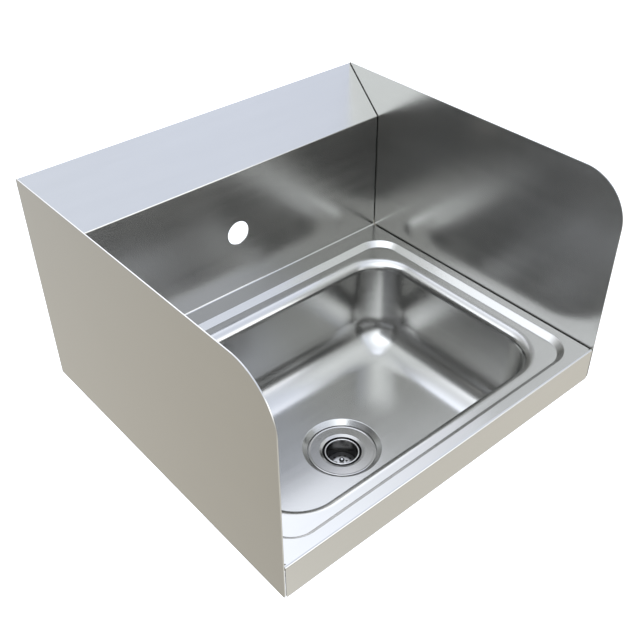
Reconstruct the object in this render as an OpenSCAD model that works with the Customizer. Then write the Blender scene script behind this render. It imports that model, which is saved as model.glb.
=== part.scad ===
// Wall-hung hand wash sink of folded and pressed stainless steel sheet, with two
// side splashes, a hang-on wall bracket and a basket drain with its tailpiece.
// X runs across the sink, Y towards the wall and Z up. The origin is on the wall,
// at the middle of the bracket's row of fixing slots.

/* [Overall] */
// Width over the two side splashes
overall_w = 432; // [426:1:520]
// Depth from the wall to the face of the apron
overall_d = 394.4; // [388:0.2:470]
// Height of the deck above the lower edge of the apron
apron_h = 41; // [34:0.2:60]
// Height of the top edge above the deck
backsplash_h = 203; // [190:1:300]
// Height of the top edge above the wall fixings
hang_rise = 68.8; // [66:0.2:90]
// Depth of the sloping top of the backsplash, which rises as much
slope_run = 51.8; // [46:0.2:60]

/* [Sheet metal] */
// Thickness of the stainless steel sheet
sheet_t = 1.2; // [0.9:0.1:1.5]
// Inside radius of the long bends
bend_in_r = 1.2; // [0.8:0.1:3]
// Inside radius of the tight folds along the sides
fold_in_r = 0.3; // [0.1:0.1:1]
// Outside radius of the grooved fold along the top edge
top_fold_r = 0.5; // [0.2:0.1:1]
// Gap between the sink body and each side splash
splash_gap = 1; // [0.5:0.1:2]
// Radius of the upper front corner of a side splash
splash_corner_r = 52; // [20:1:90]
// Radius of the lower front corner of a side splash
splash_foot_r = 3; // [1:0.5:6]
// Radius of the lower corners of the apron
apron_corner_r = 1.2; // [1:0.2:4]
// Width of the relief slot between the apron and a side skirt
relief_w = 1.4; // [0.8:0.1:3]
// Height of the side skirts' lower edge above the apron's
skirt_lift = 3; // [0:0.5:8]
// Depth of the cheek plates behind the backsplash's upright
cheek_d = 30; // [20:1:38]
// Depth of the cheek plates under its slope
slope_cheek_d = 8; // [6:0.5:12]
// Distance of the cheeks' lower ends from the deck
cheek_inset = 3; // [2:0.5:20]
// Height of the hanging flange at the wall
hook_h = 45; // [40:1:60]

/* [Drip step] */
// Distance from the outside of a side splash to the drip step
step_side_margin = 13.3; // [10:0.1:16]
// Distance from the apron's face to the drip step
step_front_margin = 12.9; // [8:0.1:18]
// Distance from the backsplash's face to the drip step
step_rear_margin = 25; // [16:0.2:30]
// Corner radius of the drip step
step_corner_r = 33; // [24:1:50]
// Depth of the drip step, which slopes at 45 degrees
step_h = 6.35; // [4:0.05:8]

/* [Bowl] */
// Distance from the outside of a side splash to the bowl's wall
bowl_side_margin = 39; // [36:0.1:50]
// Distance from the apron's face to the bowl's front wall
bowl_front_margin = 38.7; // [36.5:0.1:42]
// Distance from the backsplash's face to the bowl's rear wall
bowl_rear_margin = 51.1; // [48.5:0.1:60]
// Depth of the bowl below its ledge
bowl_depth = 125; // [90:1:160]
// Corner radius of the bowl's walls
bowl_corner_r = 45; // [40:1:60]
// Radius between the walls and the floor
bowl_fillet_r = 42.5; // [20:0.5:48]
// Radius of the rolled rim
rim_r = 12; // [8:0.5:14]

/* [Drain recess] */
// Upper radius of the recess round the drain
recess_r = 46; // [45:0.2:52]
// Radius of the recess at its floor
recess_floor_r = 40; // [40:0.2:44]
// Depth of the recess below the bowl's floor
recess_depth = 7.5; // [6:0.5:12]
// Visible radius of the recess's upper edge
recess_edge_r = 1.2; // [1:0.1:3]
// Visible radius at the foot of the recess
recess_foot_r = 1.2; // [0.8:0.1:2]
// Flat width of floor round the recess that is pressed with it
recess_collar_w = 3; // [2:0.5:6]
// Radius of the hole for the drain body
drain_hole_r = 27; // [26.4:0.1:28]

/* [Tap hole] */
// Diameter of the tap hole
tap_hole_d = 28.6; // [25:0.1:36]
// Height of the tap hole above the deck
tap_hole_h = 75.6; // [60:0.2:100]

/* [Drain body] */
// Outer radius of the drain flange
flange_r = 39.4; // [38:0.1:40]
// Thickness of the drain flange with its lip
flange_t = 1.9; // [1.6:0.1:3]
// Width of the raised lip round the flange
lip_w = 2.3; // [1.6:0.1:3]
// Height of the lip above the flange
lip_h = 0.5; // [0.3:0.1:0.7]
// Radius of the upper edge of the countersink
countersink_r = 26.2; // [25.4:0.1:26.8]
// Depth of the countersink
countersink_depth = 1.6; // [1:0.1:2]
// Radius of the throat above the seat
throat_r = 22.9; // [22:0.1:23.4]
// Depth of the seat below the flange's lip
seat_depth = 6.6; // [6.4:0.1:9]
// Radius of the bore below the seat
body_bore_r = 20.2; // [19.8:0.1:20.6]
// Outer radius of the threaded barrel
barrel_r = 26; // [25.8:0.1:26.2]
// Height of the barrel below the flange
barrel_h = 33; // [31:0.5:40]
// Outer radius of the threaded spigot at the bottom
spigot_r = 23.2; // [22.6:0.1:24]
// Height of the spigot
spigot_h = 13; // [12:0.5:18]
// Radius of the waterway in the spigot
waterway_r = 17.9; // [16:0.1:18]
// Height of the funnel between the bore and the waterway
funnel_h = 4; // [2:0.5:6]

/* [Seals and nuts] */
// Thickness of the gasket under the drain flange
gasket_t = 0.6; // [0.5:0.1:2]
// Distance of the gasket's edge inside the flange's edge
gasket_inset = 1.3; // [1:0.1:3]
// Thickness of the rubber washer under the bowl
rubber_washer_t = 3; // [2:0.5:5]
// Outer radius of the rubber washer
rubber_washer_r = 38; // [34:0.5:38.4]
// Thickness of the fibre washer
fibre_washer_t = 1.2; // [0.8:0.1:2]
// Outer radius of the fibre washer
fibre_washer_r = 36; // [33:0.5:38]
// Height of the lock nut
lock_nut_h = 8; // [6:0.5:10]
// Radius of the lock nut's ring
lock_nut_r = 31; // [30:0.5:34]
// Reach of the lock nut's lugs beyond its ring
lug_reach = 5; // [3:0.5:7]
// Width of a lug
lug_w = 9; // [6:0.5:12]
// Number of lugs
lug_count = 6; // [4:1:8]
// Outer radius across the coupling nut's corners
coupling_nut_r = 31; // [29:0.5:34]
// Height of the coupling nut
coupling_nut_h = 15; // [14:0.5:18]
// Thickness of the coupling nut's lower rim
coupling_rim_t = 2.6; // [2:0.1:4]

/* [Tailpiece] */
// Outer diameter of the tailpiece
tailpiece_d = 38.1; // [37:0.1:38.6]
// Wall of the tailpiece
tailpiece_wall = 0.9; // [0.7:0.1:1.5]
// Length of the tailpiece below the drain body
tailpiece_l = 102; // [60:1:160]
// Radius of the tailpiece's neck in the coupling nut
tail_neck_r = 19.6; // [19.3:0.1:20]
// Reach of the neck below the coupling nut
tail_neck_reach = 1; // [0.5:0.1:3]
// Radius of the flange at the tailpiece's top
tail_flange_r = 22; // [21:0.1:22.4]
// Thickness of that flange
tail_flange_t = 1.6; // [1:0.1:2.5]
// Thickness of the washer between the spigot and the tailpiece
tail_washer_t = 1.8; // [1:0.1:3]

/* [Crumb basket] */
// Outer radius of the cup
cup_r = 19.4; // [18.6:0.1:19.6]
// Wall of the cup
cup_wall = 1; // [0.8:0.1:1.4]
// Depth of the cup from its rim to its floor
cup_depth = 21.2; // [18:0.1:28]
// Outer radius of the rolled rim
cup_rim_r = 20.5; // [20:0.1:21]
// Height of the rolled rim
cup_rim_h = 1.6; // [1.2:0.1:2.2]
// Height of the rubber seal under the rim
seal_h = 3; // [2.6:0.1:4]
// Radius of the drain holes in the cup's floor
perforation_r = 1.6; // [1:0.1:1.9]
// Number of holes in the inner ring
inner_holes = 6; // [4:1:8]
// Number of holes in the outer ring
outer_holes = 12; // [8:1:14]
// Radius of the inner ring of holes
inner_ring_r = 7.4; // [6.6:0.1:8]
// Radius of the outer ring of holes
outer_ring_r = 13; // [12:0.1:14]
// Radius of the post
post_r = 1.5; // [1.2:0.1:2]
// Radius of the post's shoulder
shoulder_r = 3; // [2.6:0.1:3.6]
// Thickness of the post's shoulder
shoulder_t = 1.5; // [1:0.1:2]
// Radius of the ball knob
knob_r = 3.2; // [2.8:0.1:4]
// Height of the knob's middle above the cup's floor
knob_h = 6.3; // [6:0.1:18]
// Depth of the post's end in the knob
knob_grip = 2; // [1:0.1:2.6]
// Radius across the corners of the post's nut
post_nut_r = 3.2; // [2.8:0.1:4]
// Height of the post's nut
post_nut_h = 2.4; // [1.8:0.1:3]
// Length of the post below its nut
post_tail = 1; // [0.5:0.1:2]

/* [Side splash fixings] */
// Radius of the studs
stud_r = 2.5; // [2:0.1:3]
// Length of a stud
stud_l = 10; // [9:0.5:14]
// Distance of the front studs from the apron's face
stud_front_inset = 50; // [30:1:90]
// Distance of the rear skirt studs from the rear edge of the deck
stud_rear_inset = 45; // [30:1:90]
// Distance of the cheek studs from the cheek's foot and from the level of the bend
stud_end_inset = 32; // [28:1:60]
// Outer radius of the spacers and washers
washer_r = 5; // [4.6:0.1:6]
// Thickness of the washers
washer_t = 1; // [0.8:0.1:1.6]
// Radius across the corners of the nuts
nut_r = 4.6; // [4.2:0.1:5.4]
// Height of the nuts
nut_h = 4; // [3:0.1:5]

/* [Wall bracket] */
// Length of the bracket
bracket_w = 300; // [272:1:360]
// Thickness of the bracket
bracket_t = 2; // [1.5:0.1:3]
// Height of the bracket's plate below the fixings
bracket_drop = 18; // [12:1:30]
// Height of the lip that holds the flange
bracket_lip_h = 22; // [15:1:24]
// Width of a fixing slot
slot_w = 7; // [5:0.1:9]
// Length of a fixing slot from end to end
slot_l = 16; // [12:0.5:24]
// Distance between fixing slots
slot_pitch = 120; // [90:1:130]
// Number of fixing slots
slot_count = 3; // [3:1:3]

/* [Clearances] */
// Radial clearance of a nut on its thread
thread_clear = 0.05; // [0.03:0.01:0.1]
// Radial clearance of a stud or post in its hole
hole_clear = 0.25; // [0.1:0.05:0.4]
// Clearance between the flange and the bracket's lip
lip_clear = 0.3; // [0.2:0.05:0.6]
// Radial clearance of the basket's seal in the throat
seal_clear = 0.3; // [0.2:0.05:0.5]
// Radial clearance of the seals and washers round the barrel
ring_clear = 0.3; // [0.2:0.05:0.5]

/* [Hidden] */
$fn = 96;

facet_angle = 7.5; // largest turn between two points of a bend
over = sheet_t; // overrun of every cut
lap = sheet_t; // flat width that stays with a fold where plates are joined
steel = [0.76, 0.77, 0.78];
dull_steel = [0.6, 0.61, 0.62];
rubber = [0.08, 0.08, 0.08];

// outside radii of the bends
bend_out_r = bend_in_r + sheet_t;
fold_out_r = fold_in_r + sheet_t;
// levels
top_z = hang_rise;
deck_z = top_z - backsplash_h;
apron_z = deck_z - apron_h;
ledge_z = deck_z - step_h;
floor_z = ledge_z - bowl_depth;
recess_z = floor_z - recess_depth;
splash_bend_z = top_z - slope_run;
hook_z = top_z - hook_h;
tap_z = deck_z + tap_hole_h;
skirt_z = apron_z + skirt_lift;
// front to back
front_y = -overall_d;
splash_y = -slope_run;
seam_y = splash_y - 2 * bend_in_r;
// sizes of the sink body between the side splashes
panel_in_x = overall_w / 2 - sheet_t;
body_w = 2 * (panel_in_x - splash_gap);
fold_x = body_w / 2 - fold_out_r - lap;
relief_y = front_y + bend_out_r;
skirt_l = seam_y - relief_y - relief_w;
// drip step and ledge
step_w = overall_w - 2 * step_side_margin;
step_d = overall_d - slope_run - step_front_margin - step_rear_margin;
step_y = front_y + step_front_margin + step_d / 2;
ledge_w = step_w - 2 * step_h;
ledge_d = step_d - 2 * step_h;
ledge_corner_r = step_corner_r - step_h;
step_sheet_h = sheet_t * sqrt(2); // upright thickness of the sloping step
// bowl, whose lower fillet fits its corners and leaves room for the drain recess
bowl_w = overall_w - 2 * bowl_side_margin;
bowl_d = overall_d - slope_run - bowl_front_margin - bowl_rear_margin;
bowl_y = front_y + bowl_front_margin + bowl_d / 2;
rim_out = rim_r + lap;
collar_r = recess_r + recess_edge_r + recess_collar_w;
floor_fillet_r = min(bowl_fillet_r, bowl_corner_r - 2 * lap,
                     min(bowl_w, bowl_d) / 2 - collar_r - 2 * lap);
floor_in = floor_fillet_r + lap;
// cheeks of the backsplash, which stay clear of the hanging flange
cheek_z = deck_z + bend_in_r + cheek_inset;
cheek_end_y = -sheet_t - relief_w;
// drain stack
flange_z = recess_z + gasket_t;
lip_z = flange_z + flange_t;
seat_z = lip_z - seat_depth;
barrel_z = flange_z - barrel_h;
spigot_z = barrel_z - spigot_h;
countersink_z = lip_z - lip_h;
rubber_washer_z = recess_z - sheet_t;
fibre_washer_z = rubber_washer_z - rubber_washer_t;
lock_nut_z = fibre_washer_z - fibre_washer_t;
tail_flange_z = spigot_z - tail_washer_t;
coupling_z = tail_flange_z - tail_flange_t - coupling_rim_t;
tailpiece_r = tailpiece_d / 2;
tailpiece_z = spigot_z - tailpiece_l;
tail_neck_z = coupling_z - tail_neck_reach;
ring_in_r = barrel_r + ring_clear;
// crumb basket
seal_z = seat_z + seal_h;
cup_top_z = seal_z + cup_rim_h;
cup_floor_z = cup_top_z - cup_depth;
cup_z = cup_floor_z - cup_wall;
knob_z = cup_floor_z + knob_h;
// wall bracket
bracket_y = -sheet_t - lip_clear - bracket_t;

// Folded sheet: a strip of thickness t lies to the left of a path of corner points.
// bends gives the radius, on the path's own side of the sheet, of each corner.

function heading(a, b) = atan2(b[1] - a[1], b[0] - a[0]);
function wrapped(angle) = angle > 180 ? angle - 360 : (angle < -180 ? angle + 360 : angle);
function turn_at(p, i) = wrapped(heading(p[i], p[i + 1]) - heading(p[i - 1], p[i]));
function spoke(radius, angle) = [radius * cos(angle), radius * sin(angle)];

// The points of corner i, at a depth into the sheet from the path. Where the sheet is
// thicker than the bend's radius, as in a grooved fold, its inner side has a sharp corner.
function bend_points(p, bends, i, depth) =
  let (start = heading(p[i - 1], p[i]), turn = turn_at(p, i), side = sign(turn),
       reach = bends[i] - side * depth, miter = depth / (1 + cos(turn)),
       middle = p[i] - spoke(bends[i] * tan(abs(turn) / 2), start) + spoke(side * bends[i], start + 90),
       steps = ceil(abs(turn) / facet_angle))
  reach > 0
    ? [for (k = [0 : steps]) middle + spoke(reach, start - side * 90 + turn * k / steps)]
    : [p[i] + spoke(miter, start + 90) + spoke(miter, start + turn + 90)];

function side_points(p, bends, depth) =
  let (last = len(p) - 1)
  concat([p[0] + spoke(depth, heading(p[0], p[1]) + 90)],
         [for (i = [1 : last - 1]) each bend_points(p, bends, i, depth)],
         [p[last] + spoke(depth, heading(p[last - 1], p[last]) + 90)]);

function backwards(list) = [for (i = [len(list) - 1 : -1 : 0]) list[i]];

module folded_strip(p, bends, t) {
  polygon(concat(side_points(p, bends, 0), backwards(side_points(p, bends, t))));
}

module rounded_rect(w, d, r) {
  square([w - 2 * r, d], center = true);
  square([w, d - 2 * r], center = true);
  for (x = [-1, 1], y = [-1, 1])
    translate([x * (w / 2 - r), y * (d / 2 - r)]) circle(r);
}

// Sweeps a profile round a rounded rectangle. The profile's X is the distance
// outwards from the rectangle and its Y is the height.
module sweep_round(w, d, r) {
  for (side = [0, 1], turn = [0, 180])
    rotate(turn + side * 90)
      translate([(side == 0 ? w : d) / 2 - r, 0, 0])
        rotate([90, 0, 0]) linear_extrude((side == 0 ? d : w) - 2 * r, center = true)
          translate([r, 0]) children();
  for (corner = [[1, 1, 0], [-1, 1, 90], [-1, -1, 180], [1, -1, 270]])
    translate([corner[0] * (w / 2 - r), corner[1] * (d / 2 - r), 0])
      rotate(corner[2]) rotate_extrude(angle = 90) translate([r, 0]) children();
}

// Extrudes a profile drawn in Y and Z along X, centred on X = 0.
module extrude_x(w) {
  translate([-w / 2, 0, 0]) rotate([90, 0, 90]) linear_extrude(w) children();
}

module ring(outer_r, inner_r, z, h) {
  translate([0, 0, z])
    difference() {
      cylinder(r = outer_r, h = h);
      translate([0, 0, -over]) cylinder(r = inner_r, h = h + 2 * over);
    }
}

// Deck: flat top with the sloping drip step, folded apron and side skirts

module deck() {
  color(steel) {
    difference() {
      union() {
        difference() {
          extrude_x(body_w) apron_profile();
          side_trims();
          apron_corner_cuts();
        }
        for (side = [0, 1]) mirror([side, 0, 0]) skirt();
      }
      translate([0, step_y, deck_z - sheet_t - over])
        linear_extrude(sheet_t + 2 * over)
          rounded_rect(step_w + lap, step_d + lap, step_corner_r + lap / 2);
      at_studs() stud_hole();
    }
    translate([0, step_y, deck_z]) sweep_round(step_w, step_d, step_corner_r) step_profile();
  }
}

module apron_profile() {
  folded_strip([[seam_y, deck_z], [front_y, deck_z], [front_y, apron_z]], [0, bend_out_r, 0], sheet_t);
}

module step_profile() {
  polygon([[lap, 0], [0, 0], [-step_h, -step_h], [-step_h, -step_h - step_sheet_h],
           [step_sheet_h - sheet_t, -sheet_t], [lap, -sheet_t]]);
}

// The top is cut back along both sides, where the skirts' folds take over.
module side_trims() {
  for (side = [-1, 1])
    translate([side * body_w / 2 + fold_x - body_w / 2, relief_y, deck_z - sheet_t - over])
      cube([body_w - 2 * fold_x, skirt_l + relief_w + over, sheet_t + 2 * over]);
}

module apron_corner_cuts() {
  for (side = [0, 1]) mirror([side, 0, 0])
    translate([body_w / 2 - apron_corner_r, front_y - over, apron_z + apron_corner_r])
      rotate([-90, 0, 0])
        difference() {
          cube([2 * apron_corner_r, 2 * apron_corner_r, sheet_t + 2 * over]);
          translate([0, 0, -over]) cylinder(r = apron_corner_r, h = sheet_t + 4 * over);
        }
}

module skirt() {
  translate([0, seam_y, 0]) rotate([90, 0, 0]) linear_extrude(skirt_l)
    folded_strip([[-fold_x, deck_z], [-body_w / 2, deck_z], [-body_w / 2, skirt_z]],
                 [0, fold_out_r, 0], sheet_t);
}

// Bowl: ledge, rolled rim, walls, floor and drain recess, pressed from one sheet

module bowl() {
  color(steel)
    translate([0, bowl_y, 0]) {
      ledge();
      sweep_round(bowl_w, bowl_d, bowl_corner_r) wall_profile();
      bowl_floor();
      drain_recess();
    }
}

module ledge() {
  translate([0, 0, ledge_z - sheet_t]) linear_extrude(sheet_t)
    difference() {
      translate([0, step_y - bowl_y]) rounded_rect(ledge_w, ledge_d, ledge_corner_r);
      rounded_rect(bowl_w + 2 * rim_out - lap, bowl_d + 2 * rim_out - lap,
                   bowl_corner_r + rim_out - lap / 2);
    }
}

module wall_profile() {
  folded_strip([[rim_out, ledge_z], [0, ledge_z], [0, floor_z], [-floor_in, floor_z]],
               [0, rim_r, floor_fillet_r, 0], sheet_t);
}

module bowl_floor() {
  translate([0, 0, floor_z - sheet_t]) linear_extrude(sheet_t)
    difference() {
      rounded_rect(bowl_w - 2 * floor_in + lap, bowl_d - 2 * floor_in + lap,
                   bowl_corner_r - floor_in + lap / 2);
      circle(collar_r - lap / 2);
    }
}

module drain_recess() {
  rotate_extrude()
    folded_strip([[collar_r, floor_z], [recess_r, floor_z], [recess_floor_r, recess_z],
                  [drain_hole_r, recess_z]], [0, recess_edge_r, recess_foot_r, 0], sheet_t);
}

// Backsplash: upright, 45 degree top and hanging flange, with a cheek plate at each end

module backsplash() {
  color(steel)
    difference() {
      union() {
        extrude_x(body_w) backsplash_profile();
        for (side = [-1, 1])
          translate([side * (body_w - sheet_t) / 2, 0, 0]) extrude_x(sheet_t) cheek_outline();
      }
      translate([0, splash_y - over, tap_z]) rotate([-90, 0, 0])
        cylinder(d = tap_hole_d, h = sheet_t + 2 * over);
      at_studs() stud_hole();
    }
}

module backsplash_profile() {
  folded_strip([[0, hook_z], [0, top_z], [splash_y, splash_bend_z], [splash_y, deck_z],
                [seam_y, deck_z]], [0, top_fold_r, bend_out_r, bend_in_r, 0], sheet_t);
}

// A cheek's front edges run in the middle of the backsplash's sheet.
module cheek_outline() {
  mid_y = splash_y + sheet_t / 2;
  rear_y = splash_y + cheek_d;
  polygon([[mid_y, cheek_z], [mid_y, slope_z(mid_y, sheet_t / 2)],
           [cheek_end_y, slope_z(cheek_end_y, sheet_t / 2)],
           [cheek_end_y, slope_z(cheek_end_y, slope_cheek_d)],
           [rear_y, slope_z(rear_y, slope_cheek_d)], [rear_y, cheek_z]]);
}

// Height at y of a line that runs under the backsplash's slope at a depth
function slope_z(y, depth) = splash_bend_z + y - splash_y - depth * sqrt(2);

// Side splashes: flat plates with one large rounded corner

module left_side_splash() {
  color(steel) side_splash(-1);
}

module right_side_splash() {
  color(steel) side_splash(1);
}

module side_splash(side) {
  translate([side * (overall_w - sheet_t) / 2, 0, 0]) extrude_x(sheet_t)
    difference() {
      translate([front_y, apron_z]) square([overall_d, top_z - apron_z]);
      corner_cut(front_y, top_z, splash_corner_r, [1, -1]);
      corner_cut(front_y, apron_z, splash_foot_r, [1, 1]);
    }
}

// What lies outside the rounding of a corner at (y, z), where inwards is towards way.
module corner_cut(y, z, r, way) {
  translate([y, z]) scale(way)
    difference() {
      translate([-over, -over]) square(r + over);
      translate([r, r]) circle(r);
    }
}

// Fixings of the side splashes. Each runs inwards along +Z from the splash's inner face.

module at_studs() {
  skirt_mid_z = (skirt_z + deck_z - sheet_t) / 2;
  cheek_mid_y = splash_y + (cheek_d + sheet_t) / 2;
  places = [[front_y + stud_front_inset, skirt_mid_z], [seam_y - stud_rear_inset, skirt_mid_z],
            [cheek_mid_y, cheek_z + stud_end_inset], [cheek_mid_y, splash_bend_z - stud_end_inset]];
  for (side = [-1, 1], place = places)
    translate([side * panel_in_x, place[0], place[1]]) rotate([0, -side * 90, 0]) children();
}

module stud_hole() {
  cylinder(r = stud_r + hole_clear, h = splash_gap + sheet_t + over);
}

module splash_studs() {
  color(dull_steel) at_studs() cylinder(r = stud_r, h = stud_l);
}

module splash_spacers() {
  color(dull_steel) at_studs() ring(washer_r, stud_r + hole_clear, 0, splash_gap);
}

module splash_washers() {
  color(dull_steel) at_studs() ring(washer_r, stud_r + hole_clear, splash_gap + sheet_t, washer_t);
}

module splash_nuts() {
  color(dull_steel)
    at_studs() translate([0, 0, splash_gap + sheet_t + washer_t])
      difference() {
        cylinder(r = nut_r, h = nut_h, $fn = 6);
        translate([0, 0, -over]) cylinder(r = stud_r + thread_clear, h = nut_h + 2 * over);
      }
}

// Wall bracket: slotted plate on the wall, with a lip that stands off it

module wall_bracket() {
  color(dull_steel)
    difference() {
      extrude_x(bracket_w) bracket_profile();
      for (i = [0 : slot_count - 1])
        translate([(i - (slot_count - 1) / 2) * slot_pitch, over, 0]) fixing_slot();
    }
}

module bracket_profile() {
  translate([-bracket_t, -bracket_drop]) square([bracket_t, bracket_drop + hook_z - bracket_t]);
  translate([bracket_y, hook_z - bracket_t]) square([-bracket_y, bracket_t]);
  translate([bracket_y, hook_z]) square([bracket_t, bracket_lip_h]);
}

module fixing_slot() {
  reach = (slot_l - slot_w) / 2;
  depth = bracket_t + 2 * over;
  rotate([90, 0, 0]) {
    for (side = [-1, 1]) translate([side * reach, 0, 0]) cylinder(d = slot_w, h = depth);
    translate([-reach, -slot_w / 2, 0]) cube([2 * reach, slot_w, depth]);
  }
}

// Drain: flanged body clamped in the recess, its seals and nuts, and the tailpiece

module at_drain() {
  translate([0, bowl_y, 0]) children();
}

module drain_body() {
  color(steel)
    at_drain() rotate_extrude()
      polygon([[throat_r, seat_z], [throat_r, countersink_z - countersink_depth],
               [countersink_r, countersink_z], [flange_r - lip_w, countersink_z],
               [flange_r - lip_w + lip_h, lip_z], [flange_r - lip_h, lip_z],
               [flange_r, countersink_z], [flange_r, flange_z],
               [barrel_r, flange_z], [barrel_r, barrel_z], [spigot_r, barrel_z],
               [spigot_r, spigot_z], [waterway_r, spigot_z], [waterway_r, barrel_z],
               [body_bore_r, barrel_z + funnel_h], [body_bore_r, seat_z]]);
}

module flange_gasket() {
  color(rubber) at_drain() ring(flange_r - gasket_inset, ring_in_r, recess_z, gasket_t);
}

module rubber_washer() {
  color(rubber) at_drain() ring(rubber_washer_r, ring_in_r, fibre_washer_z, rubber_washer_t);
}

module fibre_washer() {
  color("dimgray") at_drain() ring(fibre_washer_r, ring_in_r, lock_nut_z, fibre_washer_t);
}

module lock_nut() {
  color(dull_steel)
    at_drain() translate([0, 0, lock_nut_z - lock_nut_h]) linear_extrude(lock_nut_h)
      difference() {
        union() {
          circle(lock_nut_r);
          for (i = [0 : lug_count - 1]) rotate(i * 360 / lug_count)
            translate([barrel_r, -lug_w / 2]) square([lock_nut_r - barrel_r + lug_reach, lug_w]);
        }
        circle(barrel_r + thread_clear);
      }
}

module tailpiece_washer() {
  color(rubber) at_drain() ring(tail_flange_r, waterway_r, tail_flange_z, tail_washer_t);
}

module tailpiece() {
  inner_r = tailpiece_r - tailpiece_wall;
  color(steel)
    at_drain() rotate_extrude()
      polygon([[inner_r, tailpiece_z], [tailpiece_r, tailpiece_z],
               [tailpiece_r, tail_neck_z - tail_neck_r + tailpiece_r], [tail_neck_r, tail_neck_z],
               [tail_neck_r, tail_flange_z - tail_flange_t], [tail_flange_r, tail_flange_z - tail_flange_t],
               [tail_flange_r, tail_flange_z], [inner_r, tail_flange_z]]);
}

module coupling_nut() {
  color(dull_steel)
    at_drain() translate([0, 0, coupling_z])
      difference() {
        cylinder(r = coupling_nut_r, h = coupling_nut_h, $fn = 6);
        translate([0, 0, coupling_rim_t]) cylinder(r = spigot_r + thread_clear, h = coupling_nut_h);
        translate([0, 0, -over]) cylinder(r = tail_neck_r + hole_clear, h = coupling_nut_h);
      }
}

// Crumb basket, which lifts out by its knob

module basket_cup() {
  color(steel)
    at_drain() difference() {
      union() {
        translate([0, 0, cup_z]) cylinder(r = cup_r, h = cup_top_z - cup_z);
        translate([0, 0, seal_z]) cylinder(r = cup_rim_r, h = cup_rim_h);
      }
      translate([0, 0, cup_floor_z]) cylinder(r = cup_r - cup_wall, h = cup_depth + over);
      translate([0, 0, cup_z - over]) cylinder(r = post_r + hole_clear, h = cup_wall + 2 * over);
      perforations(inner_holes, inner_ring_r);
      perforations(outer_holes, outer_ring_r);
    }
}

module perforations(count, ring_r) {
  for (i = [0 : count - 1]) rotate(i * 360 / count)
    translate([ring_r, 0, cup_z - over]) cylinder(r = perforation_r, h = cup_wall + 2 * over);
}

module basket_seal() {
  color(rubber) at_drain() ring(throat_r - seal_clear, cup_r + thread_clear, seat_z, seal_h);
}

module basket_post() {
  post_z = cup_z - post_nut_h - post_tail;
  color(steel)
    at_drain() {
      translate([0, 0, post_z]) cylinder(r = post_r, h = knob_z - knob_r + knob_grip - post_z);
      translate([0, 0, cup_floor_z]) cylinder(r = shoulder_r, h = shoulder_t);
    }
}

module basket_knob() {
  color(steel)
    at_drain() translate([0, 0, knob_z])
      difference() {
        sphere(knob_r);
        translate([0, 0, -knob_r - over]) cylinder(r = post_r + thread_clear, h = knob_grip + over);
      }
}

module basket_nut() {
  color(dull_steel)
    at_drain() translate([0, 0, cup_z - post_nut_h])
      difference() {
        cylinder(r = post_nut_r, h = post_nut_h, $fn = 6);
        translate([0, 0, -over]) cylinder(r = post_r + thread_clear, h = post_nut_h + 2 * over);
      }
}

deck();
bowl();
backsplash();
left_side_splash();
right_side_splash();
splash_studs();
splash_spacers();
splash_washers();
splash_nuts();
wall_bracket();
drain_body();
flange_gasket();
rubber_washer();
fibre_washer();
lock_nut();
tailpiece_washer();
tailpiece();
coupling_nut();
basket_cup();
basket_seal();
basket_post();
basket_knob();
basket_nut();
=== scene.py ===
"""Looks of a wall-hung hand wash sink: folded and pressed satin steel sheet, with a
basket drain. Sizes are in millimetres and meshes in metres, in the part's own frame."""
import math

import bpy
import numpy as np
from mathutils import Euler, Matrix, Vector
from mathutils.geometry import tessellate_polygon


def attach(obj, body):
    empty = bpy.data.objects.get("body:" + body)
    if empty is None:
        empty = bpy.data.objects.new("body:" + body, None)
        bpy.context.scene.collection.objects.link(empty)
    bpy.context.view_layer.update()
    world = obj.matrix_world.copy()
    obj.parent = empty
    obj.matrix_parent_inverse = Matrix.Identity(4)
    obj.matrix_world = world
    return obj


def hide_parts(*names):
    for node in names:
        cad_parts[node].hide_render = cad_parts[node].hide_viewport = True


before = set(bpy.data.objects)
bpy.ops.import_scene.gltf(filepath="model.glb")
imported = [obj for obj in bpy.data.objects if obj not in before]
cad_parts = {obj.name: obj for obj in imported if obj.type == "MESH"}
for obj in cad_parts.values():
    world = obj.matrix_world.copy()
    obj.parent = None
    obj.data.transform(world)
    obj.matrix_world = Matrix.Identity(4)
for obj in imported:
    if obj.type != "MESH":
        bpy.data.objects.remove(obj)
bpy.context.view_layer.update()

# Driving sizes, as in the part's source: the whole and its sheet
overall_w = 432.0
overall_d = 394.4
apron_h = 41.0
backsplash_h = 203.0
hang_rise = 68.8
slope_run = 51.8
sheet_t = 1.2
bend_in_r = 1.2
fold_in_r = 0.3
top_fold_r = 0.5
splash_gap = 1.0
splash_corner_r = 52.0
splash_foot_r = 3.0
apron_corner_r = 1.2
relief_w = 1.4
skirt_lift = 3.0
cheek_d = 30.0
slope_cheek_d = 8.0
cheek_inset = 3.0
hook_h = 45.0

# Drip step and bowl
step_side_margin = 13.3
step_front_margin = 12.9
step_rear_margin = 25.0
step_corner_r = 33.0
step_h = 6.35
bowl_side_margin = 39.0
bowl_front_margin = 38.7
bowl_rear_margin = 51.1
bowl_depth = 125.0
bowl_corner_r = 45.0
bowl_fillet_r = 42.5
rim_r = 12.0
recess_r = 46.0
recess_depth = 7.5
drain_hole_r = 27.0
tap_hole_d = 28.6
tap_hole_h = 75.6

# Drain body
gasket_t = 0.6
flange_r = 39.4
flange_t = 1.9
lip_w = 2.3
lip_h = 0.5
countersink_r = 26.2
countersink_depth = 1.6
throat_r = 22.9
seat_depth = 6.6
body_bore_r = 20.2
barrel_r = 26.0
barrel_h = 33.0
spigot_r = 23.2
spigot_h = 13.0
waterway_r = 17.9
funnel_h = 4.0

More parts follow.
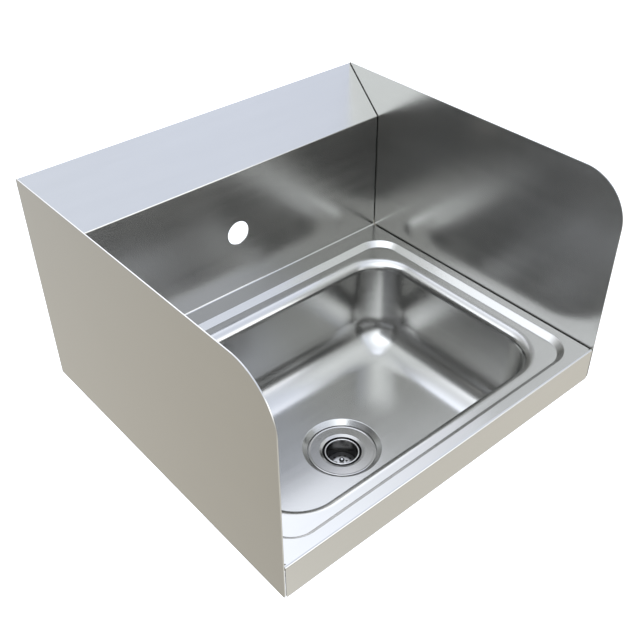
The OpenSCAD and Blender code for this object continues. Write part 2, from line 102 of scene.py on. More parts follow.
# Crumb basket
cup_r = 19.4
cup_wall = 1.0
cup_depth = 21.2
cup_rim_r = 20.5
cup_rim_h = 1.6
seal_h = 3.0
seal_clear = 0.3
perforation_r = 1.6
post_hole_r = 1.75
knob_r = 3.2
knob_h = 6.3

# The number of holes in each ring of the cup's floor, and the ring's radius
hole_rings = ((6, 7.4), (12, 13.0))

# Soft edges and other sizes of the looks alone
edge_r = 0.16
pressed_edge_r = 1.5
seam_fillet_r = 2.0
recess_edge_r = 1.0
recess_bend_r = 0.4
recess_dip = 5.4
dip_gap = 1.0
turned_edge_r = 0.3
countersink_edge_r = 0.4
lip_foot_r = 0.6
lip_crest_r = 1.6
funnel_edge_r = 0.5
cup_lip_r = 0.95
cup_foot_r = 0.6
cup_corner_r = 0.2
cup_step_r = 0.05
seal_fit = 0.05
seal_top_r = 0.7
seal_foot_r = 0.5

# Counts of points in the meshes
round_count = 128
sheet_columns = 25
skirt_columns = 12
bend_rows = 13
corner_rows = 7
knob_rows = 33
knob_count = 48
post_hole_count = 24
perforation_count = 20

# A millimetre in metres
mm = 0.001

# How far a bend of 45 degrees reaches from its corner, as a share of its radius
half_bend = math.tan(math.radians(22.5))

# Levels and places that follow
pressed_reach = pressed_edge_r * half_bend
bend_out_r = bend_in_r + sheet_t
fold_out_r = fold_in_r + sheet_t
top_z = hang_rise
deck_z = top_z - backsplash_h
apron_z = deck_z - apron_h
skirt_z = apron_z + skirt_lift
ledge_z = deck_z - step_h
floor_z = ledge_z - bowl_depth
recess_z = floor_z - recess_depth
bend_z = top_z - slope_run
hook_z = top_z - hook_h
tap_z = deck_z + tap_hole_h
front_y = -overall_d
splash_y = -slope_run
seam_y = splash_y - 2 * bend_in_r
panel_x = overall_w / 2
body_x = panel_x - sheet_t - splash_gap
fold_start_x = body_x - fold_out_r
fold_x = fold_start_x - sheet_t
apron_y = front_y + bend_out_r
skirt_y = apron_y + relief_w
flange_z = recess_z + gasket_t
lip_z = flange_z + flange_t
countersink_z = lip_z - lip_h
seat_z = lip_z - seat_depth
barrel_z = flange_z - barrel_h
spigot_z = barrel_z - spigot_h
seal_z = seat_z + seal_h
cup_top_z = seal_z + cup_rim_h
cup_floor_z = cup_top_z - cup_depth
cup_z = cup_floor_z - cup_wall
knob_z = cup_floor_z + knob_h


class Outline:
    """A rounded rectangle seen from above, set in from the sides, the apron and the backsplash."""

    def __init__(self, side, front, rear, radius):
        self.w = overall_w - 2 * side
        self.d = overall_d - slope_run - front - rear
        self.cy = front_y + front + self.d / 2
        self.r = radius


step = Outline(step_side_margin, step_front_margin, step_rear_margin, step_corner_r)
bowl = Outline(bowl_side_margin, bowl_front_margin, bowl_rear_margin, bowl_corner_r)


# Mesh tools

# The least length that a vector is divided by, and the least square of a face's normal
least_length = 1e-12
least_square = 1e-18


def unit(v):
    """A vector, or each of many, brought to a length of one."""
    v = np.asarray(v, float)
    return v / np.maximum(np.linalg.norm(v, axis=-1, keepdims=True), least_length)


def lengths(points):
    """Distance run along a row of points."""
    return np.concatenate([[0], np.cumsum(np.linalg.norm(np.diff(points, axis=0), axis=1))])


class Shape:
    """Collects patches of points with exact normals and texture coordinates."""

    def __init__(self):
        self.points = []
        self.normals = []
        self.grain = []
        self.faces = []
        self.count = 0

    def add(self, points, normals, grain, faces):
        points = np.asarray(points, float)
        normals = np.asarray(normals, float)
        for face in faces:
            a, b, c = points[face[0]], points[face[1]], points[face[2]]
            across = np.cross(b - a, c - a) if len(face) == 3 else np.cross(c - a, points[face[3]] - b)
            if across @ across < least_square:
                continue
            if across @ normals[list(face)].sum(0) < 0:
                face = face[::-1]
            self.faces.append(tuple(i + self.count for i in face))
        self.points.append(points)
        self.normals.append(normals)
        self.grain.append(np.asarray(grain, float))
        self.count += len(points)

    def grid(self, points, normals, grain=None):
        """A patch of rows and columns of points."""
        points, normals = np.broadcast_arrays(np.asarray(points, float), np.asarray(normals, float))
        rows, cols = points.shape[:2]
        if grain is None:
            grain = np.stack(np.meshgrid(lengths(points[rows // 2]), lengths(points[:, cols // 2])), -1)
        faces = [(r * cols + c, r * cols + c + 1, (r + 1) * cols + c + 1, (r + 1) * cols + c)
                 for r in range(rows - 1) for c in range(cols - 1)]
        self.add(points.reshape(-1, 3), normals.reshape(-1, 3), np.asarray(grain).reshape(-1, 2), faces)

    def edge(self, points, normals, outwards):
        """The rounded cut edge of the sheet along points on the side that normals face."""
        points, normals, outwards = np.broadcast_arrays(
            *(np.asarray(a, float) for a in (points, normals, outwards)))
        middle = points - edge_r * (normals + outwards)
        rows = []
        row_normals = []
        for side, lift in ((1, 0.0), (-1, 2 * edge_r - sheet_t)):
            for a in np.radians([90, 60, 30, 0][::side]):
                row_normals.append(outwards * math.cos(a) + side * normals * math.sin(a))
                rows.append(middle + lift * normals + edge_r * row_normals[-1])
        self.grid(rows, row_normals)

    def sheet(self, points, normals, grain=None, free=""):
        """Both faces of the sheet, with rounded cut edges on its free sides."""
        points, normals = (np.array(a, float) for a in np.broadcast_arrays(points, normals))
        # the last line of points on each side, and the one before it
        sides = {"u0": np.s_[:, :2], "u1": np.s_[:, :-3:-1], "v0": np.s_[:2], "v1": np.s_[:-3:-1]}
        cuts = []
        for name in free.split():
            across = 1 if name[0] == "u" else 0
            last, before = np.moveaxis(points[sides[name]], across, 0)
            facing = np.moveaxis(normals[sides[name]], across, 0)[0].copy()
            out = last - before
            out = unit(out - (out * facing).sum(-1, keepdims=True) * facing)
            cuts.append((last.copy(), facing, out))
            last -= edge_r * out
        self.grid(points, normals, grain)
        self.grid(points - sheet_t * normals, -normals, grain)
        for cut in cuts:
            self.edge(*cut)

    def flat(self, loops, lift, normal, depth=sheet_t):
        """A flat face from 2-D loops, the first its outline and the others holes, and its far side."""
        triangles = tessellate_polygon([[Vector((*p, 0)) for p in loop] for loop in loops])
        grain = np.concatenate(loops)
        points = lift(grain)
        normals = np.broadcast_to(np.asarray(normal, float), points.shape)
        self.add(points, normals, grain, triangles)
        if depth:
            self.add(points - depth * normals, -normals, grain, triangles)

    def piece(self, name, body, slot, material, *nodes):
        """Makes the patches one piece of the scene, which rides on a body and replaces nodes."""
        mesh = bpy.data.meshes.new(name)
        mesh.from_pydata((np.concatenate(self.points) * mm).tolist(), [], self.faces)
        mesh.update()
        corner = np.zeros(len(mesh.loops), np.int32)
        mesh.loops.foreach_get("vertex_index", corner)
        grain = np.concatenate(self.grain)[corner] * mm
        mesh.uv_layers.new(name="grain").data.foreach_set("uv", grain.astype(np.float32).ravel())
        mesh.polygons.foreach_set("use_smooth", [True] * len(mesh.polygons))
        mesh.materials.append(material)
        mesh.normals_split_custom_set_from_vertices(unit(np.concatenate(self.normals)).tolist())
        piece = bpy.data.objects.new(name, mesh)
        bpy.context.scene.collection.objects.link(piece)
        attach(piece, body)
        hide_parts(*nodes)


def at_height(z):
    """Lays 2-D points flat at a height."""
    return lambda p: np.column_stack([p, np.full(len(p), z)])


def at_depth(y):
    """Stands 2-D points up at a depth, facing the front."""
    return lambda p: np.column_stack([p[:, 0], np.full(len(p), y), p[:, 1]])


def at_side(x):
    """Stands 2-D points up at a place across the width, facing the side."""
    return lambda p: np.column_stack([np.full(len(p), x), p])


def mirrored(points):
    """The same row of points on the other side, run through backwards."""
    return [(-x, y) for x, y in reversed(points)]


def rounded(corners, radii, side=1, closed=False, turn_step=7.5):
    """Rounds a path's corners. Gives points and normals, on the path's left where side is 1."""
    corners = np.asarray(corners, float)
    last = len(corners) - 1
    points = []
    normals = []

    def put(point, normal):
        points.append(point)
        normals.append(normal)

    for i, corner in enumerate(corners):
        if not closed and i in (0, last):
            along = unit(corners[1] - corners[0]) if i == 0 else unit(corners[-1] - corners[-2])
            put(corner, side * np.array([-along[1], along[0]]))
            continue
        come = unit(corner - corners[i - 1])
        go = unit(corners[(i + 1) % (last + 1)] - corner)
        bend = math.atan2(come[0] * go[1] - come[1] * go[0], come @ go)
        way = math.copysign(1, bend)
        middle = corner - come * radii[i] * math.tan(abs(bend) / 2)
        middle = middle + way * radii[i] * np.array([-come[1], come[0]])
        start = math.atan2(come[1], come[0]) - way * math.pi / 2
        steps = max(3, 1 + math.ceil(math.degrees(abs(bend)) / turn_step))
        for a in np.linspace(start, start + bend, steps):
            out = np.array([math.cos(a), math.sin(a)])
            put(middle + radii[i] * out, -side * way * out)
    if closed:
        put(points[0], normals[0])
    return np.array(points), np.array(normals)


def ring(base, out=0.0, per_corner=28):
    """The outline at a distance outside a rounded rectangle: points and outward normals."""
    x = base.w / 2 - base.r
    y = base.d / 2 - base.r
    r = base.r + out
    points = []
    normals = []
    for sx, sy, start in ((1, 1, 0), (-1, 1, 90), (-1, -1, 180), (1, -1, 270)):
        for a in np.radians(np.linspace(start, start + 90, per_corner)):
            normals.append((math.cos(a), math.sin(a)))
            points.append((sx * x + r * math.cos(a), base.cy + sy * y + r * math.sin(a)))
    return np.array(points + points[:1]), np.array(normals + normals[:1])


def ring_sweep(base, profile, profile_normals):
    """Sweeps a profile of distances outwards and heights round a rounded rectangle."""
    rows = []
    row_normals = []
    for (out, z), (facing_out, facing_up) in zip(profile, profile_normals):
        points, normals = ring(base, out)
        rows.append(at_height(z)(points))
        row_normals.append(np.column_stack([normals * facing_out, np.full(len(points), facing_up)]))
    grain = np.stack(np.meshgrid(lengths(ring(base)[0]), lengths(profile)), -1)
    return np.array(rows), np.array(row_normals), grain


def turn(profile, profile_normals, count=round_count):
    """Turns a profile of radii and heights about the drain's axis."""
    a = np.linspace(0, 2 * math.pi, count + 1)
    spokes = np.stack([np.cos(a), np.sin(a)], -1)
    heights = np.repeat(profile[:, 1:], count + 1, 1)
    points = np.concatenate([profile[:, :1, None] * spokes, heights[..., None]], -1)
    points[..., 1] += bowl.cy
    risings = np.repeat(profile_normals[:, 1:], count + 1, 1)
    normals = np.concatenate([profile_normals[:, :1, None] * spokes, risings[..., None]], -1)
    grain = np.stack(np.meshgrid(a * profile[:, 0].max(), lengths(profile)), -1)
    return points, normals, grain


def circle(r, cx=0.0, cy=bowl.cy, count=round_count):
    """Points round a circle, which has the drain's axis at its middle unless it is given another."""
    a = np.linspace(0, 2 * math.pi, count, endpoint=False)
    return np.column_stack([cx + r * np.cos(a), cy + r * np.sin(a)])


def plate(shape, corners, radii, x, side):
    """An upright plate whose outer face, towards side, is at x. Its outline is in Y and Z."""
    points, outwards = rounded(corners, radii, side=-1, closed=True, turn_step=3.0)
    inside = (points - edge_r * outwards)[:-1]
    shape.flat([inside], at_side(side * x), (side, 0, 0))
    shape.edge(at_side(side * x)(points), (side, 0, 0), at_side(0)(outwards))


# Materials

def make_material(name):
    """A material with one shader, its node tree and that shader."""
    material = bpy.data.materials.new(name)
    material.use_nodes = True
    tree = material.node_tree
    tree.nodes.clear()
    output = tree.nodes.new("ShaderNodeOutputMaterial")
    shader = tree.nodes.new("ShaderNodeBsdfPrincipled")
    tree.links.new(shader.outputs[0], output.inputs[0])
    return material, tree, shader


def ramp(tree, value, stops, target):
    """Sends a colour that runs between two stops of a value to a target."""
    node = tree.nodes.new("ShaderNodeValToRGB")
    for stop, (position, colour) in zip(node.color_ramp.elements, stops):
        stop.position = position
        stop.color = (*colour, 1)
    tree.links.new(value, node.inputs[0])
    tree.links.new(node.outputs[0], target)


def vector_node(tree, operation, vector):
    node = tree.nodes.new("ShaderNodeVectorMath")
    node.operation = operation
    tree.links.new(vector, node.inputs[0])
    return node


def noise(tree, vector, scale, detail, rough):
    node = tree.nodes.new("ShaderNodeTexNoise")
    node.inputs["Scale"].default_value = scale
    node.inputs["Detail"].default_value = detail
    node.inputs["Roughness"].default_value = rough
    tree.links.new(vector, node.inputs["Vector"])
    return node.outputs["Fac"]


def stretched(tree, vector, scale):
    node = tree.nodes.new("ShaderNodeMapping")
    node.inputs["Scale"].default_value = scale
    tree.links.new(vector, node.inputs["Vector"])
    return node.outputs[0]


def blended(tree, parts):
    """The sum of values, each taken with its share."""
    total = None
    for value, share in parts:
        node = tree.nodes.new("ShaderNodeMath")
        node.operation = "MULTIPLY_ADD"
        tree.links.new(value, node.inputs[0])
        node.inputs[1].default_value = share
        node.inputs[2].default_value = 0.0
        if total is not None:
            tree.links.new(total, node.inputs[2])
        total = node.outputs[0]
    return total


def mottled(tree, value, ends, colour, tone, roughness, spread, shader):
    """Varies colour and roughness about their middles as a value goes from end to end."""
    low, high = ends
    colour = np.array(colour)
    ramp(tree, value, [(low, colour * (1 - tone)), (high, colour * (1 + tone))],
         shader.inputs["Base Color"])
    ramp(tree, value, [(low, [roughness - spread] * 3), (high, [roughness + spread] * 3)],
         shader.inputs["Roughness"])


def bump(tree, height, strength, distance, shader):
    node = tree.nodes.new("ShaderNodeBump")
    node.inputs["Strength"].default_value = strength
    node.inputs["Distance"].default_value = distance * mm
    tree.links.new(height, node.inputs["Height"])
    tree.links.new(node.outputs[0], shader.inputs["Normal"])


def steel(name, colour, roughness, across=5200.0, along=26.0, spread=0.03):
    """Satin steel: fine grain along the sheet, with slow changes of tone and roughness."""
    material, tree, shader = make_material(name)
    coords = tree.nodes.new("ShaderNodeTexCoord")
    fine_grain = stretched(tree, coords.outputs["UV"], (along, across, 1))
    broad_grain = stretched(tree, coords.outputs["UV"], (4.0, 90.0, 1))
    fine = noise(tree, fine_grain, scale=1.0, detail=3.0, rough=0.6)
    broad = noise(tree, broad_grain, scale=1.0, detail=3.0, rough=0.55)
    cloud = noise(tree, coords.outputs["Object"], scale=9.0, detail=2.0, rough=0.5)
    mottle = blended(tree, [(fine, 0.4), (broad, 0.3), (cloud, 0.3)])
    mottled(tree, mottle, (0.35, 0.65), colour, 0.03, roughness, spread, shader)
    bump(tree, fine, strength=0.06, distance=0.04, shader=shader)
    shader.inputs["Metallic"].default_value = 1.0
    return material


def paint_shade_by_distance(material, place, stops):
    """Paints shade on a steel: darkens its colour with distance from a place. Stops give the share of
    colour left at distances.
    """
    reach = 40.0
    tree = material.node_tree
    shader = tree.nodes["Principled BSDF"]
    coords = tree.nodes.new("ShaderNodeTexCoord")
    away = vector_node(tree, "DISTANCE", coords.outputs["Object"])
    away.inputs[1].default_value = np.array(place) * mm
    share = blended(tree, [(away.outputs["Value"], 1 / (reach * mm))])
    unshaded = shader.inputs["Base Color"].links[0].from_socket
    shaded = vector_node(tree, "MULTIPLY", unshaded)
    ramp(tree, share, [(distance / reach, [tone] * 3) for distance, tone in stops], shaded.inputs[1])
    tree.links.new(shaded.outputs[0], shader.inputs["Base Color"])


def coated(name, colour, roughness, scale, tone=0.12, height=0.02, metallic=0.0, spread=0.05,
           specular=0.5):
    """Rubber, fibre and plated parts: a fine mottle in colour, roughness and height."""
    material, tree, shader = make_material(name)
    coords = tree.nodes.new("ShaderNodeTexCoord")
    fine = noise(tree, coords.outputs["Object"], scale, detail=4.0, rough=0.6)
    mottled(tree, fine, (0.3, 0.7), colour, tone, roughness, spread, shader)
    bump(tree, fine, strength=0.3, distance=height, shader=shader)
    shader.inputs["Metallic"].default_value = metallic
    shader.inputs["Specular IOR Level"].default_value = specular
    return material


steel_colour = (0.436, 0.433, 0.418)
turned_grain = {"across": 4000.0, "along": 8.0}
sheet_steel = steel("satin_sheet", steel_colour, 0.23)
pressed_steel = steel("pressed_sheet", steel_colour, 0.23, across=2600.0)
turned_steel = steel("turned_steel", (0.385, 0.378, 0.365), 0.2, **turned_grain)
# The cup's steel, darkened below its lip by painted shade further down
cup_painted_shade_steel = steel("cup_painted_shade_steel", (0.5, 0.49, 0.48), 0.2, **turned_grain)
# Painted light: the cup's floor is made far paler than steel, so that its middle reads as lit
painted_light_and_shade_floor = steel("cup_painted_light_and_shade_floor", (0.85, 0.84, 0.82), 0.5, **turned_grain)
knob_steel = steel("knob_steel", (0.36, 0.36, 0.36), 0.06, spread=0.02, **turned_grain)
bright_steel = steel("bright_steel", (0.46, 0.46, 0.45), 0.1, **turned_grain)
zinc = coated("zinc_plate", (0.36, 0.37, 0.38), 0.34, scale=500.0, metallic=1.0)
chrome = coated("chrome_plate", (0.5, 0.5, 0.51), 0.08, scale=300.0, tone=0.03, height=0.004,
                metallic=1.0, spread=0.02)
rubber = coated("black_rubber", (0.006, 0.006, 0.006), 0.8, scale=900.0, specular=0.1)
fibre = coated("fibre", (0.12, 0.09, 0.065), 0.75, scale=900.0)

# Painted shade on the cup's walls: their colour is kept at the lip alone and darkened below it
cup_middle = (0, bowl.cy, cup_floor_z)
paint_shade_by_distance(cup_painted_shade_steel, cup_middle, [(26.4, 0.28), (27.6, 1.0)])
# Painted shade on the cup's floor, darkened towards the wall, with its pale colour kept in the middle
# as painted light
paint_shade_by_distance(painted_light_and_shade_floor, cup_middle, [(9.6, 1.0), (12.0, 0.15)])


# Deck: flat top, drip step, apron and side skirts

def make_deck():
    shape = Shape()
    deck_top(shape)
    apron(shape)
    for side in (-1, 1):
        relief_faces(shape, side)
        skirt(shape, side)
    drip_step(shape)
    shape.piece("deck_sheet", "sink", "stainless", sheet_steel, "deck")


def deck_top(shape):
    right = [(fold_x, apron_y), (fold_x, skirt_y), (fold_start_x, skirt_y), (fold_start_x, seam_y)]
    hole = ring(step, pressed_reach)[0][:-1]
    shape.flat([right + mirrored(right), hole], at_height(deck_z), (0, 0, 1))


def apron(shape):
    """The front, with the bend above it and its two rounded lower corners."""
    r = apron_corner_r
    straight_x = body_x - r
    corner = np.radians(np.linspace(0, 90, corner_rows))
    corner_x = straight_x + (r - edge_r) * np.sin(corner)
    corner_z = apron_z + r - (r - edge_r) * np.cos(corner)
    straight = np.linspace(-straight_x, straight_x, sheet_columns)[1:-1]
    x = np.concatenate([-corner_x[::-1], straight, corner_x])
    foot = np.concatenate([corner_z[::-1], np.full(len(straight), apron_z + edge_r), corner_z])
    bend = np.radians(np.linspace(90, 180, bend_rows))
    bend_y = apron_y + bend_out_r * np.cos(bend)
    bend_up = deck_z - bend_out_r + bend_out_r * np.sin(bend)
    y, _ = np.meshgrid(np.append(bend_y, front_y), x, indexing="ij")
    z = np.vstack([np.repeat(bend_up[:, None], len(x), 1), foot])
    facing = np.column_stack([np.zeros(bend_rows), np.cos(bend), np.sin(bend)])
    facing = np.vstack([facing, facing[-1:]])
    points = np.stack([np.broadcast_to(x, y.shape), y, z], -1)
    run = np.append(bend_out_r * (bend - bend[0]), bend_out_r * math.pi / 2 + apron_h)
    shape.sheet(points, facing[:, None, :], np.stack(np.meshgrid(x, run), -1))
    # the cut edge down one side, along the foot and up the other side
    down = np.column_stack([np.full(bend_rows, -body_x), bend_y, bend_up])
    turn_in = corner[::-1, None]
    foot_corner = np.hstack([-straight_x - r * np.sin(turn_in), np.full(turn_in.shape, front_y),
                             apron_z + r - r * np.cos(turn_in)])
    out = np.hstack([-np.sin(turn_in), np.zeros(turn_in.shape), -np.cos(turn_in)])
    half = np.vstack([down, foot_corner])
    half_facing = np.vstack([facing[:-1], np.tile([0, -1, 0], (corner_rows, 1))])
    half_out = np.vstack([np.tile([-1, 0, 0], (bend_rows, 1)), out])
    shape.edge(*(np.vstack([a, (a * [-1, 1, 1])[::-1]]) for a in (half, half_facing, half_out)))


def relief_faces(shape, side):
    """The cut edges of the notch between apron and skirt."""
    for start, end, facing in (((fold_x, apron_y), (body_x, apron_y), (0, 1, 0)),
                               ((fold_x, apron_y), (fold_x, skirt_y), (side, 0, 0)),
                               ((fold_x, skirt_y), (fold_start_x, skirt_y), (0, -1, 0))):
        shape.grid([[(side * x, y, deck_z - depth) for x, y in (start, end)] for depth in (0, sheet_t)],
                   facing)


def skirt(shape, side):
    profile, facing = rounded([(fold_start_x, deck_z), (body_x, deck_z), (body_x, skirt_z)],
                              [0, fold_out_r, 0])
    along = np.linspace(skirt_y, seam_y, skirt_columns)
    points = [[(side * x, y, z) for y in along] for x, z in profile]
    normals = [[(side * x, 0, z)] * len(along) for x, z in facing]
    shape.sheet(points, normals, free="v1 u0 u1")


def drip_step(shape):
    profile, facing = rounded([(step_h, 0), (0, 0), (-step_h, -step_h), (-2 * step_h, -step_h)],
                              [0, pressed_edge_r, pressed_edge_r, 0], side=-1)
    shape.sheet(*ring_sweep(step, profile[1:-1] + [0, deck_z], facing[1:-1]))


# Bowl: ledge, rolled rim, walls, floor and drain recess

def make_bowl():
    shape = Shape()
    outer = ring(step, -step_h - pressed_reach)[0][:-1]
    inner = ring(bowl, rim_r)[0][:-1]
    shape.flat([outer, inner], at_height(ledge_z), (0, 0, 1))
    corners = [(2 * rim_r, ledge_z), (0, ledge_z), (0, floor_z), (-2 * bowl_fillet_r, floor_z)]
    profile, facing = rounded(corners, [0, rim_r, bowl_fillet_r, 0], side=-1, turn_step=4.5)
    shape.sheet(*ring_sweep(bowl, profile[1:-1], facing[1:-1]))
    # the recess falls gently to the flange's edge and then drops to its own floor
    dip_r = flange_r + dip_gap
    corners = [(2 * recess_r, floor_z), (recess_r, floor_z), (dip_r, floor_z - recess_dip),
               (dip_r, recess_z), (drain_hole_r, recess_z)]
    profile, facing = rounded(corners, [0, recess_edge_r, recess_bend_r, recess_bend_r, 0], side=-1)
    floor_outline = ring(bowl, -bowl_fillet_r)[0][:-1]
    shape.flat([floor_outline, circle(profile[1][0])], at_height(floor_z), (0, 0, 1))
    shape.sheet(*turn(profile[1:], facing[1:]), free="v1")
    shape.piece("bowl_pressing", "sink", "stainless", pressed_steel, "bowl")


# Backsplash: upright with the tap hole, slope, hanging flange and cheek plates

def make_backsplash():
    shape = Shape()
    corners = [(0, hook_z), (0, top_z), (splash_y, bend_z), (splash_y, deck_z), (seam_y, deck_z)]
    profile, facing = rounded(corners, [0, top_fold_r, bend_out_r, seam_fillet_r, 0], side=-1)
    high = bend_z - bend_out_r * half_bend
    low = deck_z + seam_fillet_r
    above = profile[:, 1] > high - edge_r
    below = profile[:, 1] < low + edge_r
    xs = np.linspace(-body_x, body_x, sheet_columns)
    for part, free in ((above, "u0 u1 v0"), (below, "u0 u1")):
        points = [[(x, y, z) for x in xs] for y, z in profile[part]]
        normals = [[(0, y, z)] * len(xs) for y, z in facing[part]]
        shape.sheet(points, normals, free=free)
    upright(shape, low, high)
    for side in (-1, 1):
        cheek(shape, side)
    shape.piece("backsplash_sheet", "sink", "stainless", sheet_steel, "backsplash")


def upright(shape, low, high):
    """The flat part of the backsplash, with its tap hole and side edges."""
    right = [(body_x - edge_r, low), (body_x - edge_r, high)]
    r = tap_hole_d / 2
    shape.flat([right + mirrored(right), circle(r + edge_r, 0, tap_z)], at_depth(splash_y), (0, -1, 0))
    around = circle(1, 0, 0)
    around = np.vstack([around, around[:1]])
    shape.edge(at_depth(splash_y)(around * r + [0, tap_z]), (0, -1, 0), -at_depth(0)(around))
    for side in (-1, 1):
        shape.edge([(side * body_x, splash_y, z) for z in (low, high)], (0, -1, 0), (side, 0, 0))


def cheek(shape, side):
    """The plate that closes an end of the backsplash under its slope."""
    end_y = -sheet_t - relief_w
    rear_y = splash_y + cheek_d
    mid_y = splash_y + sheet_t
    foot_z = deck_z + bend_in_r + cheek_inset
    corners = [(rear_y, foot_z), (rear_y, slope_level(rear_y, slope_cheek_d)),
               (end_y, slope_level(end_y, slope_cheek_d)), (end_y, slope_level(end_y, sheet_t)),
               (mid_y, slope_level(mid_y, sheet_t)), (mid_y, foot_z)]
    plate(shape, corners, [edge_r] * len(corners), body_x, side)


def slope_level(y, depth):
    """Height at y of a line that runs under the slope at a depth."""
    return bend_z + y - splash_y - depth * math.sqrt(2)


# Side splashes

def make_side_splash(side, name, node):
    shape = Shape()
    corners = [(front_y, apron_z), (0, apron_z), (0, top_z), (front_y, top_z)]
    plate(shape, corners, [splash_foot_r, edge_r, edge_r, splash_corner_r], panel_x, side)
    shape.piece(name, "sink", "stainless", sheet_steel, node)


# Drain body and crumb basket, turned about the drain's axis

def turned(section):
    """Turns a closed section, given clockwise as corners of radius, height and rounding."""
    section = np.array(section)
    points, normals = rounded(section[:, :2], section[:, 2], side=-1, closed=True)
    return turn(points, normals)


def make_drain_body():
    shape = Shape()
    soft = turned_edge_r
    countersink_foot_z = countersink_z - countersink_depth
    funnel_z = barrel_z + funnel_h
    bore = [(throat_r, seat_z, soft), (throat_r, countersink_foot_z, soft)]
    top = [(countersink_r, countersink_z, countersink_edge_r),
           (flange_r - lip_w, countersink_z, lip_foot_r),
           (flange_r - lip_w / 2, lip_z, lip_crest_r),
           (flange_r, countersink_z, soft)]
    outside = [(flange_r, flange_z, soft), (barrel_r, flange_z, soft), (barrel_r, barrel_z, soft),
               (spigot_r, barrel_z, soft), (spigot_r, spigot_z, soft)]
    waterway = [(waterway_r, spigot_z, soft), (waterway_r, barrel_z, funnel_edge_r),
                (body_bore_r, funnel_z, funnel_edge_r), (body_bore_r, seat_z, soft)]
    shape.grid(*turned(bore + top + outside + waterway))
    shape.piece("drain_flange", "sink", "drain_steel", turned_steel, "drain_body")


def make_cup():
    shape = Shape()
    soft = turned_edge_r
    bore_r = cup_r - cup_wall
    foot_r = bore_r - cup_wall
    inside = [(bore_r, cup_floor_z, cup_corner_r), (bore_r, cup_top_z, cup_lip_r)]
    outside = [(cup_rim_r, cup_top_z, cup_lip_r), (cup_rim_r, seal_z, soft), (cup_r, seal_z, soft),
               (cup_r, cup_z, cup_foot_r)]
    foot = [(foot_r, cup_z, cup_step_r), (foot_r, cup_floor_z, cup_step_r)]
    shape.grid(*turned(inside + outside + foot))
    shape.piece("crumb_cup", "basket", "drain_steel", cup_painted_shade_steel, "basket_cup")


def make_cup_floor():
    shape = Shape()
    floor_r = cup_r - cup_wall - cup_corner_r
    holes = [circle(post_hole_r, count=post_hole_count)]
    for count, reach in hole_rings:
        for i in range(count):
            a = 2 * math.pi * i / count
            x = reach * math.cos(a)
            y = bowl.cy + reach * math.sin(a)
            holes.append(circle(perforation_r, x, y, count=perforation_count))
    shape.flat([circle(floor_r)] + holes, at_height(cup_floor_z), (0, 0, 1), depth=cup_wall)
    for hole in holes:
        hole = np.vstack([hole, hole[:1]])
        inwards = at_height(0)(unit(hole[:-1].mean(0) - hole))
        shape.grid([at_height(z)(hole) for z in (cup_floor_z, cup_z)], [inwards, inwards])
    shape.piece("crumb_cup_floor", "basket", "drain_steel", painted_light_and_shade_floor, "basket_cup")


def make_seal():
    shape = Shape()
    soft = turned_edge_r
    inner_r = cup_r + seal_fit
    outer_r = throat_r - seal_clear
    shape.grid(*turned([(inner_r, seat_z, soft), (inner_r, seal_z, soft),
                        (outer_r, seal_z, seal_top_r), (outer_r, seat_z, seal_foot_r)]))
    shape.piece("seal_ring", "basket", "rubber", rubber, "basket_seal")


def make_knob():
    shape = Shape()
    a = np.radians(np.linspace(-90, 90, knob_rows))
    ball = np.column_stack([np.cos(a), np.sin(a)])
    shape.grid(*turn(ball * knob_r + [0, knob_z], ball, knob_count))
    shape.piece("ball_knob", "basket", "drain_steel", knob_steel, "basket_knob")


make_deck()
make_bowl()
make_backsplash()
make_side_splash(-1, "left_splash_plate", "left_side_splash")
make_side_splash(1, "right_splash_plate", "right_side_splash")
make_drain_body()
make_cup()
make_cup_floor()
make_seal()
make_knob()

# Materials of the parts that keep the frame's own shape
kept = {zinc: ("splash_studs", "splash_spacers", "splash_washers", "splash_nuts", "wall_bracket",
               "lock_nut"),
        rubber: ("flange_gasket", "rubber_washer", "tailpiece_washer"),
        fibre: ("fibre_washer",),
        chrome: ("tailpiece", "coupling_nut"),
        bright_steel: ("basket_post", "basket_nut")}
for material, names in kept.items():
    for name in names:
        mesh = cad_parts[name].data
        mesh.materials.clear()
        mesh.materials.append(material)


# Camera where the photo was taken from, with its place in millimetres and its turn in degrees
camera_place = (-487.95, -760.48, 483.84)
camera_turn = (51.831, 0.115, -41.266)
camera = bpy.data.objects.new("camera", bpy.data.cameras.new("camera"))
bpy.context.scene.collection.objects.link(camera)
turned_by = Euler([math.radians(a) for a in camera_turn]).to_matrix().to_4x4()
camera.matrix_world = Matrix.Translation(Vector(camera_place) * mm) @ turned_by
camera.data.sensor_width = 36.0
camera.data.lens = 50.1
camera.data.shift_x = -0.01022
camera.data.shift_y = 0.00426
camera.data.clip_start = 0.02
camera.data.clip_end = 100.0
bpy.context.scene.camera = camera


# Floor, in metres: about a metre below the wall fixings
floor_reach = 20.0
floor_level = -1.03
floor_mesh = bpy.data.meshes.new("floor")
floor_mesh.from_pydata([(x * floor_reach, y * floor_reach, floor_level)
                        for x, y in ((-1, -1), (1, -1), (1, 1), (-1, 1))], [], [(0, 1, 2, 3)])
floor = bpy.data.objects.new("floor", floor_mesh)
bpy.context.scene.collection.objects.link(floor)
floor_paint, _, floor_shader = make_material("pale_floor")
floor_shader.inputs["Base Color"].default_value = (0.9, 0.9, 0.9, 1)
floor_shader.inputs["Roughness"].default_value = 0.9
floor_mesh.materials.append(floor_paint)
floor.visible_glossy = False


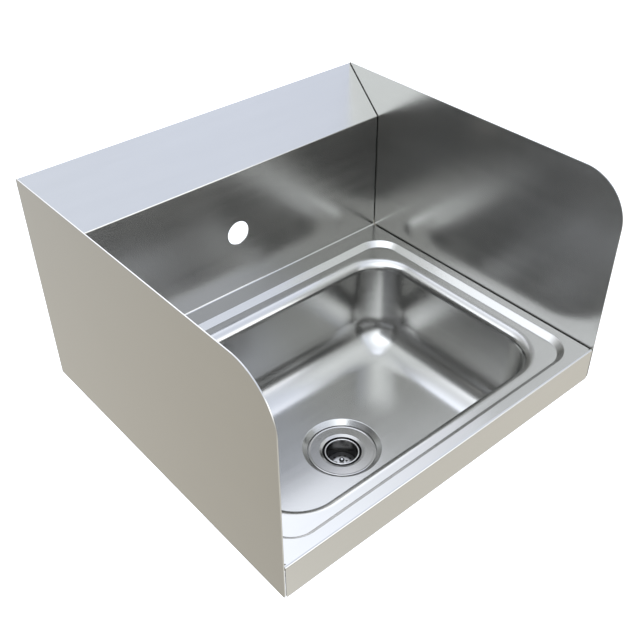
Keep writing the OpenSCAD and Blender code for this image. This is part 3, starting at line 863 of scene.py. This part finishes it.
# Soft lights of the studio: each one's direction from the sink, its narrowness and its colour
soft_lights = [((-0.83, 0.37, 0.4), 11.0, (2.7, 2.85, 3.15)),
               ((-0.61, -0.37, 0.71), 6.0, (3.2, 3.4, 3.65)),
               ((0.16, 0.31, 0.94), 10.0, (2.0, 2.15, 2.55)),
               ((0.18, -0.75, 0.63), 10.0, (0.62, 0.7, 0.9)),
               ((0.63, -0.27, 0.73), 9.0, (0.87, 0.96, 1.22)),
               ((-0.21, -0.35, -0.91), 10.0, (2.55, 2.55, 2.5)),
               ((0.65, -0.5, -0.57), 10.0, (0.76, 0.72, 0.65)),
               ((-0.4, 0.58, -0.7), 10.0, (0.23, 0.19, 0.12)),
               ((0.45, -0.87, 0.18), 20.0, (3.0, 3.05, 3.15)),
               ((0.38, 0.74, 0.55), 40.0, (2.1, 2.2, 2.5)),
               ((0.3, 0.95, 0.0), 1.2, (0.93, 0.93, 0.92)),
               ((0.0, -0.96, -0.28), 2.5, (0.43, 0.42, 0.37))]
room_colour = (0.073, 0.071, 0.056)


def make_world():
    """Adds the lights up. Each fades as exp(narrowness * (cos - 1)) with the angle from its middle."""
    world = bpy.data.worlds.new("studio")
    bpy.context.scene.world = world
    world.use_nodes = True
    tree = world.node_tree
    tree.nodes.clear()
    output = tree.nodes.new("ShaderNodeOutputWorld")
    background = tree.nodes.new("ShaderNodeBackground")
    tree.links.new(background.outputs[0], output.inputs[0])
    around = tree.nodes.new("ShaderNodeTexCoord").outputs["Generated"]
    light = None
    for direction, narrowness, colour in soft_lights:
        facing = vector_node(tree, "DOT_PRODUCT", around)
        facing.inputs[1].default_value = unit(direction)
        away = tree.nodes.new("ShaderNodeMath")
        away.operation = "MULTIPLY_ADD"
        tree.links.new(facing.outputs["Value"], away.inputs[0])
        away.inputs[1].default_value = narrowness
        away.inputs[2].default_value = -narrowness
        lobe = tree.nodes.new("ShaderNodeMath")
        lobe.operation = "EXPONENT"
        tree.links.new(away.outputs[0], lobe.inputs[0])
        total = vector_node(tree, "MULTIPLY_ADD", lobe.outputs[0])
        total.inputs[1].default_value = colour
        if light is None:
            total.inputs[2].default_value = room_colour
        else:
            tree.links.new(light, total.inputs[2])
        light = total.outputs[0]
    tree.links.new(light, background.inputs["Color"])


make_world()
bpy.context.scene.view_settings.view_transform = "Standard"
